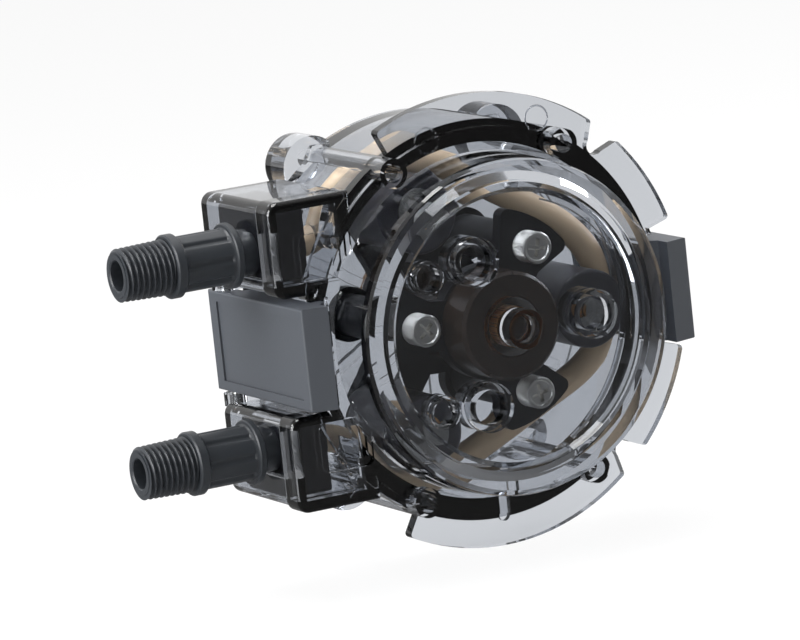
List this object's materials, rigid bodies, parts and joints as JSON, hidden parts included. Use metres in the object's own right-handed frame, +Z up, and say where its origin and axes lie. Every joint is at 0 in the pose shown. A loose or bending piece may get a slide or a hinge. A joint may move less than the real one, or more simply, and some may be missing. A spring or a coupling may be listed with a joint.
{
  "type": "peristaltic pump head",
  "caption": "Clear round peristaltic pump head with a domed cover, side latches, a roller rotor, a flexible tube and threaded tube adaptors on one side.",
  "frame": {"origin": "on the rotor axis, in the plane of the four rear mounting pads", "axes": "+Y along the rotor axis, back towards the motor; +Z up; the tube adaptors point towards -X"},
  "size_m": [0.139, 0.065, 0.1088],
  "materials": {
    "clear_polycarbonate": "clear smoke-grey moulded, polished",
    "latch_grey": "moulded, fine grain",
    "adaptor_grey": "moulded, satin",
    "rotor_black": "moulded, satin",
    "roller_black": "turned, satin",
    "screw_steel": "knurled, turned",
    "pin_steel": "ground",
    "bronze": "sintered",
    "tube_elastomer": "satin extruded"
  },
  "bodies": {
    "housing": {"rear_housing": "clear_polycarbonate", "front_cover": "clear_polycarbonate", "cover_bush": "bronze", "rear_bush": "bronze", "latch_pins": "pin_steel", "tube_adaptor_upper": "adaptor_grey", "tube_adaptor_lower": "adaptor_grey", "adaptor_clip_upper": "rotor_black", "adaptor_clip_lower": "rotor_black", "pump_tube": "tube_elastomer"},
    "rotor": {"rotor_hub": "rotor_black", "hub_set_screw": "pin_steel", "rotor_rear_plate": "rotor_black", "rotor_spider": "rotor_black", "rotor_posts": "rotor_black", "rotor_screws": "screw_steel", "roller_axles": "pin_steel", "axle_clips": "pin_steel"},
    "roller_1": {"roller_1": "roller_black", "roller_bush_1": "bronze"},
    "roller_2": {"roller_2": "roller_black", "roller_bush_2": "bronze"},
    "roller_3": {"roller_3": "roller_black", "roller_bush_3": "bronze"},
    "right_latch": {"right_latch": "latch_grey"},
    "left_latch": {"left_latch": "latch_grey"}
  },
  "joints": [
    {"name": "rotor_spin", "type": "hinge", "parent": "housing", "child": "rotor", "pos_m": [0, -0.0273, 0], "axis": [0, 1, 0], "continuous": true, "deforming": ["pump_tube"]},
    {"name": "roller_1_spin", "type": "hinge", "parent": "rotor", "child": "roller_1", "pos_m": [0.03009, -0.0287, -0.00263], "axis": [0, 1, 0], "continuous": true},
    {"name": "roller_2_spin", "type": "hinge", "parent": "rotor", "child": "roller_2", "pos_m": [-0.01276, -0.0287, 0.02737], "axis": [0, 1, 0], "continuous": true},
    {"name": "roller_3_spin", "type": "hinge", "parent": "rotor", "child": "roller_3", "pos_m": [-0.01732, -0.0287, -0.02474], "axis": [0, 1, 0], "continuous": true},
    {"name": "right_latch_swing", "type": "hinge", "parent": "housing", "child": "right_latch", "pos_m": [0.0494, -0.008, 0], "axis": [0, 0, 1], "range_deg": [0, 20]},
    {"name": "left_latch_swing", "type": "hinge", "parent": "housing", "child": "left_latch", "pos_m": [-0.0494, -0.008, 0], "axis": [0, 0, -1], "range_deg": [0, 20]}
  ],
  "couplings": [
    {"joint": "roller_1_spin", "follows": "rotor_spin", "ratio": -4.179},
    {"joint": "roller_2_spin", "follows": "rotor_spin", "ratio": -4.179},
    {"joint": "roller_3_spin", "follows": "rotor_spin", "ratio": -4.179}
  ]
}
